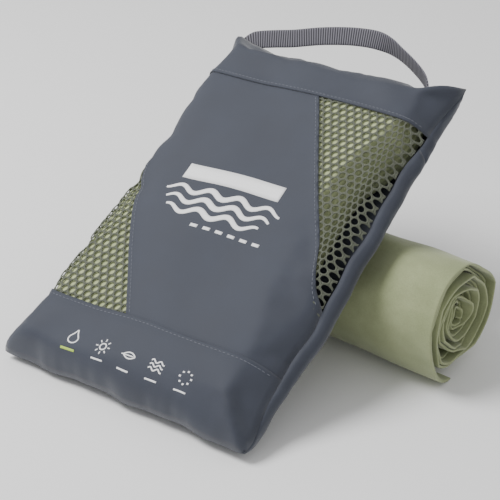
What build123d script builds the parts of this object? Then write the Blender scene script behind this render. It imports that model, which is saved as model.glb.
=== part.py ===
"""Quick dry towel set: a filled zip pouch with a webbing loop, leaning on a rolled towel.

Millimetres, +Z up. The pouch is drawn flat (u across, v up the pouch, w out of its front)
and then leaned back.
"""

from build123d import *
import os
from math import cos, radians, sin

# ---- pouch, drawn flat
POUCH_WIDTH = 188.0
POUCH_HEIGHT = 280.0
HALF_THICK = 18.5  # mid plane to the outer face
RIM_HALF = 0.6  # half the thickness of the sewn rim
WALL = 1.0
SHOULDER = 38.0  # how far in from the rim the pouch reaches its full thickness
KNEE_IN = 6.0  # how far in from the rim the curve of its side is steepest
KNEE_SHARE = 0.72  # share of the full thickness the curve aims for there
CREST_IN = 18.0  # how far in the curve starts to level off
INNER_RIM_HALF = 0.1  # half the gap inside the rim, where front and back nearly meet
INSET_SHARE = 1.6  # how much further in the inner faces stop at the rim than at the middle
PAST_RIM = 20.0  # how far the net cutters run past the rim
BAND_LOW = 46.0  # top edge of the bottom band
BAND_HIGH = 234.0  # lower edge of the top band
LEFT_NET_SIDE = 162.0  # where the left net ends on the left rim
LEFT_NET_FOOT = -18.0  # where the left net ends on the bottom band
RIGHT_NET_SIDE = 98.0
RIGHT_NET_HEAD = 11.0

# ---- zip across the back
ZIP_V = 225.0
ZIP_HALF_LENGTH = 72.0
ZIP_OPENING = 6.0  # zip line to the edge of each back panel
TAPE_THICK = 0.6
COIL_GAP = 0.4  # zip line to the near side of each coil
COIL_WIDTH = 1.2
COIL_THICK = 1.2
ZIP_W = -(HALF_THICK - WALL / 2)  # middle of the zip, seen through the wall
STOP_LENGTH = 2.5
SLIDER_LENGTH = 10.0
SLIDER_WIDTH = 8.0
PLATE_THICK = 1.2
PLATE_GAP = 0.3  # slider plate to coil
POST_LENGTH = 3.0
POST_THICK = 0.4
POST_INSET = 2.0  # slider's end to the post
SLIDER_U = 62.0  # closed position of the slider's middle
BRIDGE_HALF = 2.4
BRIDGE_HEIGHT = 3.2
BRIDGE_SIDE = 0.9  # thickness of the bridge's legs and bar, and half its width
PULL_LENGTH = 26.0
PULL_WIDTH = 7.0
PULL_THICK = 1.4
BAR_GAP = 0.45  # slider plate to the pull
PULL_SLOT = 1.6  # half the slot the bridge's bar passes through
PULL_HEAD = 0.7  # slider's middle to the head of the pull
SLOT_NEAR = 1.4  # head of the pull to each end of its slot
SLOT_FAR = 8.5
CLEAR = 1.0  # how far a cutter runs past what it cuts

# ---- webbing loop
WEB_WIDTH = 12.7
WEB_THICK = 1.2
LOOP_PATH = (  # u, v, w of the loop's middle line and the direction its width lies in
    ((-79.0, 282.2, 0.0), (-1.0, 0.0, 0.0)),
    ((-74.0, 287.0, 0.0), (-0.75, 0.55, 0.35)),
    ((-64.0, 290.5, 0.4), (-0.35, 0.70, 0.62)),
    ((-50.0, 293.5, 0.8), (-0.18, 0.70, 0.70)),
    ((-34.0, 297.2, 1.0), (-0.15, 0.70, 0.70)),
    ((-17.0, 301.0, 1.0), (-0.10, 0.70, 0.70)),
    ((0.0, 304.0, 1.0), (-0.05, 0.70, 0.70)),
    ((16.0, 305.5, 1.0), (0.02, 0.70, 0.70)),
    ((30.0, 304.5, 1.0), (0.15, 0.68, 0.70)),
    ((42.0, 301.0, 0.8), (0.30, 0.60, 0.72)),
    ((54.0, 295.5, 0.6), (0.45, 0.50, 0.70)),
    ((65.0, 289.5, 0.3), (0.75, 0.35, 0.50)),
    ((72.0, 282.2, 0.0), (1.0, 0.0, 0.0)),
)

# ---- towels
PACK_WIDTH = 148.0
PACK_HEIGHT = 234.0
PACK_HALF = 15.5
PACK_ROUND = 11.0
PACK_U = -6.0  # the folded towel lies a little to the left in the pouch
ROLL_RADIUS = 42.0
ROLL_LENGTH = 248.0
ROLL_SINK = 2.0  # how much its own weight flattens the underside
ROLL_PRESS = 3.0  # how much the pouch flattens the side it leans on

# ---- how the two stand together, with the middle of the whole set over the origin
LEAN = 32.0
POUCH_X = -21.3
POUCH_Y = -130.0
POUCH_Z = 5.2
ROLL_RIGHT_END = 124.0
CONTACT_GAP = 0.3
ROLL_Z = ROLL_RADIUS - ROLL_SINK
ROLL_TO_MID = ROLL_RADIUS - ROLL_PRESS + CONTACT_GAP + HALF_THICK
ROLL_Y = POUCH_Y + ((ROLL_Z - POUCH_Z) * cos(radians(LEAN)) + ROLL_TO_MID) / sin(radians(LEAN))

BIG = 400.0


def leaned(shape):
    """A shape drawn flat, put where the pouch stands."""
    return Location((POUCH_X, POUCH_Y, POUCH_Z), (LEAN, 0, 0)) * shape


def lens(half_span, half_rim, half_thick):
    """Closed outline of a pillow's cross-section, centred on the origin."""
    flat = half_span - SHOULDER
    corner = (
        (half_span, half_rim),
        (half_span - KNEE_IN, half_thick * KNEE_SHARE),
        (half_span - CREST_IN, half_thick),
        (flat, half_thick),
    )

    def bend(sx, sy):
        return Bezier(*[(sx * x, sy * y) for x, y in corner])

    edges = [bend(sx, sy) for sx in (1, -1) for sy in (1, -1)]
    edges += [Line((-flat, s * half_thick), (flat, s * half_thick)) for s in (1, -1)]
    edges += [Line((s * half_span, -half_rim), (s * half_span, half_rim)) for s in (1, -1)]
    return make_face(edges)


def pillow(inset):
    """Solid pillow of the pouch's outline, inset all round by the wall."""
    rim = max(RIM_HALF - inset, INNER_RIM_HALF)
    across = lens(POUCH_WIDTH / 2 - INSET_SHARE * inset, rim, HALF_THICK - inset)
    along = lens(POUCH_HEIGHT / 2 - INSET_SHARE * inset, rim, HALF_THICK - inset)
    by_width = extrude(Plane.XZ * across, POUCH_HEIGHT, both=True)
    by_height = extrude(Plane.YZ * along, POUCH_WIDTH, both=True)
    return Pos(0, POUCH_HEIGHT / 2, 0) * (by_width & by_height)


def prism(points, front):
    """Cutter with the given outline, through the front half or the back half of the pouch."""
    face = make_face(Polyline(*points, close=True))
    return extrude(face, BIG if front else -BIG)


def block(u0, u1, v0, v1, w0, w1):
    return Pos((u0 + u1) / 2, (v0 + v1) / 2, (w0 + w1) / 2) * Box(u1 - u0, v1 - v0, w1 - w0)


def band(v0, v1):
    return ((-BIG, v0), (BIG, v0), (BIG, v1), (-BIG, v1))


def front_panels(shell):
    """The five front panels, cut from the shell along their seams."""
    side = POUCH_WIDTH / 2
    slope_left = (BAND_LOW - LEFT_NET_SIDE) / (LEFT_NET_FOOT + side)
    slope_right = (BAND_HIGH - RIGHT_NET_SIDE) / (RIGHT_NET_HEAD - side)
    out = PAST_RIM
    left_net = (
        (LEFT_NET_FOOT, BAND_LOW),
        (-side - out, BAND_LOW),
        (-side - out, LEFT_NET_SIDE - slope_left * out),
    )
    right_net = (
        (RIGHT_NET_HEAD, BAND_HIGH),
        (side + out, BAND_HIGH),
        (side + out, RIGHT_NET_SIDE + slope_right * out),
    )
    middle = shell & prism(band(BAND_LOW, BAND_HIGH), True)
    return {
        "bottom_band": shell & prism(band(-BIG, BAND_LOW), True),
        "top_band": shell & prism(band(BAND_HIGH, BIG), True),
        "left_net": middle & prism(left_net, True),
        "right_net": middle & prism(right_net, True),
        "centre_panel": middle - prism(left_net, True) - prism(right_net, True),
    }


def back_panels(shell):
    """Two back panels with the zip's slot between them."""
    slot = block(
        -ZIP_HALF_LENGTH, ZIP_HALF_LENGTH,
        ZIP_V - ZIP_OPENING, ZIP_V + ZIP_OPENING,
        -HALF_THICK - CLEAR, -PACK_HALF,
    )
    return {
        "back_panel_lower": (shell & prism(band(-BIG, ZIP_V), False)) - slot,
        "back_panel_upper": (shell & prism(band(ZIP_V, BIG), False)) - slot,
    }


def zip_rows():
    """Each half of the zip: its tape, its coil and the stop at one end."""
    inner = COIL_GAP + COIL_WIDTH
    parts = {}
    for name, side in (("lower", -1), ("upper", 1)):
        tape = sorted((ZIP_V + side * inner, ZIP_V + side * ZIP_OPENING))
        coil = sorted((ZIP_V + side * COIL_GAP, ZIP_V + side * inner))
        half_tape, half_coil = TAPE_THICK / 2, COIL_THICK / 2
        parts[f"zip_tape_{name}"] = block(
            -ZIP_HALF_LENGTH, ZIP_HALF_LENGTH, *tape, ZIP_W - half_tape, ZIP_W + half_tape
        )
        run = ZIP_HALF_LENGTH - STOP_LENGTH
        parts[f"zip_coil_{name}"] = block(-run, run, *coil, ZIP_W - half_coil, ZIP_W + half_coil)
    for name, side in (("left", -1), ("right", 1)):
        ends = sorted((side * ZIP_HALF_LENGTH, side * (ZIP_HALF_LENGTH - STOP_LENGTH)))
        parts[f"zip_stop_{name}"] = block(
            *ends, ZIP_V - inner, ZIP_V + inner, ZIP_W - COIL_THICK / 2, ZIP_W + COIL_THICK / 2
        )
    return parts


def plate_level():
    """Outer face of the slider's outer plate."""
    return ZIP_W - COIL_THICK / 2 - PLATE_GAP - PLATE_THICK


def slider():
    """Two plates joined by the thin post that parts the coils, with a bridge for the pull."""
    near = COIL_THICK / 2 + PLATE_GAP
    u0, u1 = SLIDER_U - SLIDER_LENGTH / 2, SLIDER_U + SLIDER_LENGTH / 2
    v0, v1 = ZIP_V - SLIDER_WIDTH / 2, ZIP_V + SLIDER_WIDTH / 2
    outer = block(u0, u1, v0, v1, plate_level(), ZIP_W - near)
    inner = block(u0, u1, v0, v1, ZIP_W + near, ZIP_W + near + PLATE_THICK / 2)
    rounded = [fillet(p.edges().filter_by(Axis.Z), SLIDER_WIDTH / 3) for p in (outer, inner)]
    half_post = POST_THICK / 2
    post_end = u1 - POST_INSET
    post = block(
        post_end - POST_LENGTH, post_end,
        ZIP_V - half_post, ZIP_V + half_post,
        ZIP_W - near, ZIP_W + near,
    )
    top = plate_level() - BRIDGE_HEIGHT
    bridge = block(
        SLIDER_U - BRIDGE_HALF, SLIDER_U + BRIDGE_HALF,
        ZIP_V - BRIDGE_SIDE, ZIP_V + BRIDGE_SIDE,
        top, plate_level(),
    )
    half_hole = BRIDGE_HALF - BRIDGE_SIDE
    hole = block(
        SLIDER_U - half_hole, SLIDER_U + half_hole,
        ZIP_V - CLEAR, ZIP_V + CLEAR,
        top + BRIDGE_SIDE, plate_level(),
    )
    return rounded[0] + rounded[1] + post + (bridge - hole)


def pull_tab():
    """Flat tab hung on the slider's bridge by the bar at its head, lying along the closed zip."""
    w1 = plate_level() - BAR_GAP
    w0 = w1 - PULL_THICK
    head = SLIDER_U + PULL_HEAD
    tail = head - PULL_LENGTH
    tab = block(tail, head, ZIP_V - PULL_WIDTH / 2, ZIP_V + PULL_WIDTH / 2, w0, w1)
    tab = fillet(tab.edges().filter_by(Axis.Z), PULL_WIDTH / 4)
    slot = block(
        head - SLOT_FAR, head - SLOT_NEAR,
        ZIP_V - PULL_SLOT, ZIP_V + PULL_SLOT,
        w0 - CLEAR, w1 + CLEAR,
    )
    return tab - slot


def loop_section(centre, across, along):
    """Cross-section of the webbing at one place on the loop."""
    c, a = Vector(centre), Vector(across).normalized() * (WEB_WIDTH / 2)
    n = Vector(along).cross(a).normalized() * (WEB_THICK / 2)
    return Face(Wire.make_polygon([c + a + n, c - a + n, c - a - n, c + a - n], close=True))


def webbing_loop():
    centres = [Vector(c) for c, _ in LOOP_PATH]
    sections = []
    for i, (centre, across) in enumerate(LOOP_PATH):
        before, after = centres[max(i - 1, 0)], centres[min(i + 1, len(centres) - 1)]
        sections.append(loop_section(centre, across, after - before))
    return loft(sections, ruled=True)


def folded_towel():
    half_u, half_v = PACK_WIDTH / 2, PACK_HEIGHT / 2
    mid = POUCH_HEIGHT / 2
    pack = block(PACK_U - half_u, PACK_U + half_u, mid - half_v, mid + half_v, -PACK_HALF, PACK_HALF)
    return fillet(pack.edges(), PACK_ROUND)


def rolled_towel():
    """Roll lying along X, flat underneath and where the pouch leans."""
    roll = Cylinder(ROLL_RADIUS, ROLL_LENGTH, rotation=(0, 90, 0))
    under = Pos(0, 0, -ROLL_RADIUS - ROLL_Z) * Box(BIG, BIG, 2 * ROLL_RADIUS)
    pressed = Rot(LEAN, 0, 0) * Pos(0, 0, 2 * ROLL_RADIUS - ROLL_PRESS) * Box(BIG, BIG, 2 * ROLL_RADIUS)
    return Pos(ROLL_RIGHT_END - ROLL_LENGTH / 2, ROLL_Y, ROLL_Z) * (roll - under - pressed)


def all_parts():
    shell = pillow(0) - pillow(WALL)
    flat = front_panels(shell) | back_panels(shell) | zip_rows()
    flat |= {
        "folded_towel": folded_towel(),
        "slider_body": slider(),
        "pull_tab": pull_tab(),
        "carry_loop": webbing_loop(),
    }
    parts = {name: leaned(shape) for name, shape in flat.items()}
    parts["rolled_towel"] = rolled_towel()
    return parts


if __name__ == "__main__":
    os.makedirs("parts", exist_ok=True)
    for name, shape in all_parts().items():
        solids = shape.solids()
        assert len(solids) == 1, (name, len(solids))
        export_step(solids[0], f"parts/{name}.step")
        low, high = solids[0].bounding_box().min, solids[0].bounding_box().max
        print(name, [round(c, 2) for c in (*low, *high)], round(solids[0].volume, 1))
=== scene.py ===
"""Quick dry towel set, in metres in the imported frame: a filled zip pouch leaning on a rolled towel."""

import bmesh
import bpy
import math
import numpy as np
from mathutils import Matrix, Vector


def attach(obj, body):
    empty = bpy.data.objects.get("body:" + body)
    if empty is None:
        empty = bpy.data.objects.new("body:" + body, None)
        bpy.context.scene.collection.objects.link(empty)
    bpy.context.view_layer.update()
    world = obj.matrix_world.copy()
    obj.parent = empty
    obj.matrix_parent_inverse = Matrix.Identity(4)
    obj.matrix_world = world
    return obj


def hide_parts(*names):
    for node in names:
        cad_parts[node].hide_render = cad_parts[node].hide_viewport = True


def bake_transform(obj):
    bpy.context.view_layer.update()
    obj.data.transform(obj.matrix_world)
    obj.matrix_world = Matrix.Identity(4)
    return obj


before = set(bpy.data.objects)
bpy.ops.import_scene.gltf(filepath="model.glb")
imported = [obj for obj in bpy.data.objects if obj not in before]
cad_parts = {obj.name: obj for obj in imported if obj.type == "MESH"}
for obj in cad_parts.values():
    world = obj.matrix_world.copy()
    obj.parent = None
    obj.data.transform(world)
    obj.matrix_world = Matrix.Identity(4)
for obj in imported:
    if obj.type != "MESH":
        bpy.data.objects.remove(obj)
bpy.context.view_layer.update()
scene = bpy.context.scene

MM = 0.001
LEAN = math.radians(32.0)
POUCH_AT = np.array([-21.3, -130.0, 5.2])
RIGHT = np.array([1.0, 0.0, 0.0])
UPWARD = np.array([0.0, math.cos(LEAN), math.sin(LEAN)])
OUTWARD = np.array([0.0, -math.sin(LEAN), math.cos(LEAN)])

# The pouch's flat cut, in mm: u across from the middle, v up from the foot.
CUT_W, CUT_H = 200.0, 288.0
NU, NV = 48, 71
LOW, HIGH = 49.0, 239.0  # seams of the two bands
LEFT_FOOT, LEFT_SIDE = -18.0, 177.0
RIGHT_HEAD, RIGHT_SIDE = 11.0, 98.0
SIDE = CUT_W / 2
ZIP_V, ZIP_W, ZIP_START, ZIP_END = 225.0, -18.0, -69.5, 72.0  # the zip's line on the finished pouch
ZIP_ROW = 228.6  # where the zip lies on the flat cut
PACK_U = -6.0  # the folded towel lies a little to the left in its pouch
ROLL_AT = np.array([0.0, 34.76, 40.0])
ROLL_LEFT, ROLL_RIGHT = -123.5, 129.0

# The filled pouch's rim, in pouch coordinates: its corners, keyed (top, right), and its sides' middles.
EARS = {
    (0, 0): (-100.0, -4.0, 1.5),
    (0, 1): (98.5, 2.0, 0.5),
    (1, 0): (-85.0, 278.5, 1.0),
    (1, 1): (101.0, 284.5, 4.0),
}
RIM_LEFT, RIM_RIGHT, RIM_FOOT, RIM_HEAD = -80.5, 91.5, 0.5, 272.0
CREST = 20.0  # the front is pressed flatter above this height


def smooth01(x):
    x = np.clip(x, 0, 1)
    return x * x * (3 - 2 * x)


# ---- placing
def leaned(points):
    """Pouch coordinates in mm to the row frame in metres."""
    p = np.asarray(points, float)
    out = POUCH_AT + p[..., :1] * RIGHT + p[..., 1:2] * UPWARD + p[..., 2:3] * OUTWARD
    return out * MM


def unleaned(points):
    """Row frame in metres back to pouch coordinates in mm."""
    d = np.asarray(points, float) / MM - POUCH_AT
    return np.stack([d @ RIGHT, d @ UPWARD, d @ OUTWARD], -1)


def new_object(name, verts, faces, smooth=True):
    mesh = bpy.data.meshes.new(name)
    mesh.from_pydata([tuple(map(float, v)) for v in verts], [], [tuple(map(int, f)) for f in faces])
    mesh.update()
    if smooth:
        mesh.polygons.foreach_set("use_smooth", [True] * len(mesh.polygons))
    obj = bpy.data.objects.new(name, mesh)
    scene.collection.objects.link(obj)
    return obj


def add_cut_uv(obj, flat):
    """Stores the flat cut position of every vertex, in decimetres, for the weave."""
    layer = obj.data.uv_layers.new(name="cut")
    index = np.zeros(len(obj.data.loops), int)
    obj.data.loops.foreach_get("vertex_index", index)
    layer.data.foreach_set("uv", (np.asarray(flat, float)[index] / 100.0).ravel())


# ---- the case, by cloth simulation
def rim_distance(u, v):
    return np.minimum(np.minimum(u + SIDE, SIDE - u), np.minimum(v, CUT_H - v))


def sim_collider(name, verts, faces):
    obj = new_object(name, verts, faces, smooth=False)
    obj.modifiers.new("c", "COLLISION")
    obj.collision.thickness_outer = 0.008
    obj.collision.cloth_friction = 20.0
    return obj


def simulate_case():
    """Front and back cut flat, sewn round the rim and drawn tight over the folded towel.

    Works in pouch coordinates at 100 mm to the unit. Returns the two sides as grids of points in mm."""
    us = np.linspace(-SIDE, SIDE, NU + 1)
    vs = np.linspace(0.0, CUT_H, NV + 1)
    grid_u, grid_v = np.meshgrid(us, vs)
    inside = (rim_distance(grid_u, grid_v) > 1e-6).ravel()
    front = np.arange((NU + 1) * (NV + 1)).reshape(NV + 1, NU + 1)
    back = front.copy().ravel()
    back[inside] = len(back) + np.arange(inside.sum())
    back = back.reshape(NV + 1, NU + 1)
    flat = np.stack([grid_u.ravel(), grid_v.ravel(), 0 * grid_u.ravel()], 1)
    flat = np.vstack([flat, flat[inside]])
    depth = rim_distance(flat[:, 0], flat[:, 1])
    side = np.ones(len(flat))
    side[front.size :] = -1
    start = flat.copy()
    start[:, 0] *= 0.965
    start[:, 1] = (flat[:, 1] - CUT_H / 2) * 0.975 + CUT_H / 2 - 3.0
    start[:, 2] = side * 20.0 * (1 - np.exp(-depth / 10.0))
    faces = []
    for grid, flip in ((front, False), (back, True)):
        for j in range(NV):
            for i in range(NU):
                quad = (grid[j, i], grid[j, i + 1], grid[j + 1, i + 1], grid[j + 1, i])
                faces.append(quad[::-1] if flip else quad)
    scale = 0.01
    case = new_object("case_sim", start * scale, faces)
    case.shape_key_add(name="Basis")
    rest = case.shape_key_add(name="flat")
    rest.data.foreach_set("co", (flat * scale).ravel())
    rest.value = 0.0

    bm = bmesh.new()
    bmesh.ops.create_cube(bm, size=1.0)
    bmesh.ops.scale(bm, vec=(1.50, 2.36, 0.335), verts=bm.verts)
    bmesh.ops.bevel(bm, geom=bm.edges[:] + bm.verts[:], offset=0.115, segments=4, profile=0.5, affect="EDGES")
    bmesh.ops.translate(bm, vec=(PACK_U * scale, 1.40, 0), verts=bm.verts)
    bm.verts.index_update()
    pack = [tuple(v.co) for v in bm.verts], [tuple(v.index for v in f.verts) for f in bm.faces]
    bm.free()
    sheet = [(-400, -400, 0.4), (400, -400, 0.4), (400, 400, 0.4), (-400, 400, 0.4)]
    floor = unleaned(np.array(sheet) * MM) * scale
    roll_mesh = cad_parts["rolled_towel"].data
    roll = unleaned(np.array([tuple(v.co) for v in roll_mesh.vertices])) * scale
    others = [
        sim_collider("sim_pack", *pack),
        sim_collider("sim_floor", floor, [(0, 1, 2, 3)]),
        sim_collider("sim_roll", roll, [tuple(p.vertices) for p in roll_mesh.polygons]),
    ]
    cloth = case.modifiers.new("Cloth", "CLOTH")
    s = cloth.settings
    s.rest_shape_key = rest
    s.quality = 10
    s.mass = 0.25
    s.tension_stiffness = s.compression_stiffness = 60
    s.shrink_min = 0.03
    s.shear_stiffness = 12
    s.bending_stiffness = 0.6
    s.tension_damping = s.compression_damping = s.shear_damping = 8
    s.bending_damping = 1.0
    s.air_damping = 3.0
    s.effector_weights.gravity = 0.0
    cloth.collision_settings.distance_min = 0.008
    cloth.collision_settings.collision_quality = 4
    cloth.collision_settings.use_self_collision = False
    last = 45
    cloth.point_cache.frame_start, cloth.point_cache.frame_end = 1, last
    for f in range(1, last + 1):
        scene.frame_set(f)
    held = case.evaluated_get(bpy.context.evaluated_depsgraph_get()).to_mesh()
    points = np.array([tuple(v.co) for v in held.vertices]) / scale
    for o in (case, *others):
        bpy.data.objects.remove(o, do_unlink=True)
    scene.frame_set(1)
    return points[front], points[back]


def settle(front, back):
    """Brings the simulated case to the shape the filled pouch holds.

    The ears, the middles of the sides and the rim's level are set; folds and gathers stay as simulated."""
    s = np.linspace(0, 1, NU + 1)[None, :, None]
    t = np.linspace(0, 1, NV + 1)[:, None, None]
    move = 0.0
    for (j, i), at in EARS.items():
        weight = (t if j else 1 - t) * (s if i else 1 - s)
        move = move + weight * (np.array(at) - front[-j, -i])
        near = np.exp(-(((t - j) * CUT_H / 5.0) ** 2) - ((s - i) * CUT_W / 5.0) ** 2)
        move = move + near * np.array([2.5 * (1 - 2 * i), 1.0 * (1 - 2 * j), 0.0])  # blunt ears
    front, back = front + move, back + move
    arch = 1 - (2 * t - 1) ** 4
    brow = 1 - (2 * s - 1) ** 4
    mid_j, mid_i = NV // 2, NU // 2
    right_u = RIM_RIGHT + 3.5 * np.exp(-(((t - 0.30) / 0.20) ** 2)) - front[mid_j, -1, 0]
    left_u = RIM_LEFT - front[mid_j, 0, 0]
    skew = 3.5 * smooth01((s - 0.25) / 0.30) * arch
    wave_v = 0.9 * np.sin(19.0 * s + 0.6) + 0.4 * np.sin(41.0 * s + 2.0)
    wave_u = 0.9 * np.sin(23.0 * t + 1.0) + 0.6 * np.sin(49.0 * t)
    out = []
    for grid, reach in ((front, 0.14), (back, 0.05)):
        right = arch * smooth01((s - 1 + reach) / reach)
        left = arch * smooth01((0.14 - s) / 0.14)
        du = right * (right_u + wave_u) + left * (left_u + 0.2 * wave_u)
        dw = arch * smooth01((s - 0.84) / 0.16) * (7.0 - front[mid_j, -1, 2])
        dw = dw + arch * smooth01((0.16 - s) / 0.16) * (4.0 - front[mid_j, 0, 2])
        dv = skew + smooth01((t - 0.90) / 0.10) * brow * (RIM_HEAD + wave_v - front[-1, mid_i, 1])
        dv = dv + smooth01((0.10 - t) / 0.10) * brow * (RIM_FOOT + wave_v - front[0, mid_i, 1])
        # The top left ear is tucked in, and a drawn notch runs down beside the top right one.
        du = du + 5.0 * np.exp(-(((t - 0.90) / 0.055) ** 2)) * smooth01((0.16 - s) / 0.16)
        dv = dv - 4.0 * np.exp(-(((s - 0.865) / 0.045) ** 2)) * smooth01((t - 0.93) / 0.07)
        out.append(grid + np.concatenate([du + 0 * dv, dv + 0 * du, dw + 0 * du + 0 * dv], -1))
    front, back = out
    high = front[..., 2]
    front[..., 2] = np.where(high > CREST, CREST + (high - CREST) * 0.18, high)
    # The back stands out past the sewn rim on the right, so the side of the pouch is seen from the front.
    count = round(0.2 * NU)
    for j in range(NV + 1):
        weight = float(arch[j, 0, 0]) ** (0.8 if j < NV / 2 else 2.0)
        rim, end = back[j, -1], back[j, -1 - count]
        one, two = rim + np.array([18.0, 0.0, -5.0]), end + np.array([25.0, 0.0, -2.0])
        for k in range(1, count):
            q = k / count
            p = 1 - q
            round_ = p**3 * rim + 3 * q * p**2 * one + 3 * q * q * p * two + q**3 * end
            back[j, -1 - k] += (round_ - back[j, -1 - k]) * weight
    ground = (2.2 - POUCH_AT[2] - back[..., 1] * math.sin(LEAN)) / math.cos(LEAN)
    back[..., 2] = np.maximum(back[..., 2], ground)  # nothing hangs below the floor
    return front, back


def catmull(t):
    return np.stack(
        [
            -0.5 * t + t * t - 0.5 * t**3,
            1 - 2.5 * t * t + 1.5 * t**3,
            0.5 * t + 2 * t * t - 1.5 * t**3,
            -0.5 * t * t + 0.5 * t**3,
        ],
        -1,
    )


class Skin:
    """The settled case: turns flat cut positions on the front (1) or back (-1) into points in space."""

    def __init__(self, front, back):
        back = back.copy()
        cut_u, cut_v = np.linspace(-SIDE, SIDE, NU + 1), np.linspace(0, CUT_H, NV + 1)
        row = ZIP_ROW / CUT_H * NV
        j = int(row)
        off_line = ZIP_V - back[j, :, 1] * (1 - row + j) - back[j + 1, :, 1] * (row - j)
        off_line = off_line * smooth01((SIDE - np.abs(cut_u)) / 10.0)
        # The zip runs straight, on a level stretch that ends before the rim.
        back[..., 1] += off_line * smooth01((45 - np.abs(cut_v - ZIP_ROW)) / 35.0)[:, None]
        u, v = back[..., 0], back[..., 1]
        level = smooth01((u + 77.5) / 4.5) * smooth01((84.0 - u) / 9.0)
        level = level * smooth01((24 - np.abs(v - ZIP_V)) / 12.0)
        back[..., 2] += (ZIP_W - back[..., 2]) * level
        self.grid = {1: self.pad(front), -1: self.pad(back)}

    @staticmethod
    def pad(g):
        g = np.concatenate([2 * g[:1] - g[1:2], g, 2 * g[-1:] - g[-2:-1]], 0)
        return np.concatenate([2 * g[:, :1] - g[:, 1:2], g, 2 * g[:, -1:] - g[:, -2:-1]], 1)

    def base(self, side, u, v):
        x = (np.asarray(u, float) + SIDE) / CUT_W * NU
        y = np.asarray(v, float) / CUT_H * NV
        i = np.clip(np.floor(x), 0, NU - 1).astype(int)
        j = np.clip(np.floor(y), 0, NV - 1).astype(int)
        wx, wy = catmull(x - i), catmull(y - j)
        total = 0.0
        for a in range(4):
            for b in range(4):
                total = total + (wx[..., a] * wy[..., b])[..., None] * self.grid[side][j + b, i + a]
        return total

    def normal(self, side, u, v):
        across = self.base(side, u + 0.6, v) - self.base(side, u - 0.6, v)
        up = self.base(side, u, v + 0.6) - self.base(side, u, v - 0.6)
        n = np.cross(across, up) * side
        return n / np.linalg.norm(n, axis=-1, keepdims=True)

    def pucker(self, side, u, v):
        """Small gathers that run in from the sewn rim."""
        total = 0.0
        upright, level = (v, CUT_H), (u + SIDE, CUT_W)
        sides = ((u + SIDE, *upright), (SIDE - u, *upright), (v, *level), (CUT_H - v, *level))
        for k, (d, s, ends) in enumerate(sides):
            swing = 2.3 * np.sin(s / 13.0 + k)
            wave = np.sin(s / 2.05 + swing + 1.7 * k) + 0.6 * np.sin(s / 3.6 + 4.1 * k + side)
            corner = np.clip(np.minimum(s, ends - s) / 26.0, 0, 1)
            reach = 7.0 + 3.0 * np.sin(s / 9.0 + 2 * k + side)
            wave = wave * (0.4 if k == 0 else 1.0)
            total = total + wave * corner * np.exp(-np.maximum(d, 0) / reach) * np.clip(d / 2.0, 0, 1)
        calm = smooth01(rim_distance(u, v) / 30.0)
        dents = np.sin(u / 19.0 + 1.3 * np.sin(v / 37.0)) * np.sin(v / 29.0 + 0.9 * np.sin(u / 33.0) + 0.7)

        def around(u0, v0, wide, high):
            return np.exp(-(((u - u0) / wide) ** 2 + ((v - v0) / high) ** 2))

        drawn = np.sin((u + 0.6 * v) / 9.5 + 1.2 * np.sin(v / 23.0)) * around(78, 262, 30.0, 26.0)
        drawn = drawn + np.sin((u - 0.8 * v) / 8.5) * around(-76, 18, 26.0, 22.0)
        drawn = drawn + np.sin((u + 1.1 * v) / 8.0 + 0.8) * around(66, 16, 30.0, 20.0)
        creases = 1.15 * drawn * np.clip(rim_distance(u, v) / 8.0, 0, 1)
        return total * (0.42 if side > 0 else 0.6) + 0.8 * dents * calm + creases

    def at(self, side, u, v, h=0.0):
        u, v = np.asarray(u, float), np.asarray(v, float)
        lift = (self.pucker(side, u, v) + h)[..., None]
        return self.base(side, u, v) + self.normal(side, u, v) * lift


def cut_grid(planes, cell=3.0, box=None):
    """Flat grid cut back to the half planes given as (point, outward normal)."""
    u0, u1, v0, v1 = box or (-SIDE, SIDE, 0.0, CUT_H)
    nu, nv = max(1, round((u1 - u0) / cell)), max(1, round((v1 - v0) / cell))
    bm = bmesh.new()
    across, upward = np.linspace(u0, u1, nu + 1), np.linspace(v0, v1, nv + 1)
    rows = [[bm.verts.new((u, v, 0)) for u in across] for v in upward]
    for j in range(nv):
        for i in range(nu):
            bm.faces.new((rows[j][i], rows[j][i + 1], rows[j + 1][i + 1], rows[j + 1][i]))
    return cut_back(bm, planes, 0.02)[:2]


def cut_back(bm, planes, weld, layer=None):
    """Trims a flat mesh to the half planes and welds it. Returns points, faces and the layer's values."""
    for point, normal in planes:
        cut = {"plane_co": (*point, 0), "plane_no": (*normal, 0), "clear_outer": True}
        bmesh.ops.bisect_plane(bm, geom=bm.verts[:] + bm.edges[:] + bm.faces[:], dist=1e-4, **cut)
    bmesh.ops.remove_doubles(bm, verts=bm.verts, dist=weld)
    bm.verts.index_update()
    flat = np.array([tuple(v.co)[:2] for v in bm.verts])
    faces = [tuple(v.index for v in f.verts) for f in bm.faces]
    values = None if layer is None else np.array([v[layer] for v in bm.verts])
    bm.free()
    return flat, faces, values


def grid_faces(rows, count, closed=False):
    """Quads between rows of count points; closed joins the last row to the first."""
    faces = []
    for r in range(rows if closed else rows - 1):
        one, two = r * count, (r + 1) % rows * count
        faces += [(one + k, two + k, two + k + 1, one + k + 1) for k in range(count - 1)]
    return faces


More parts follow.
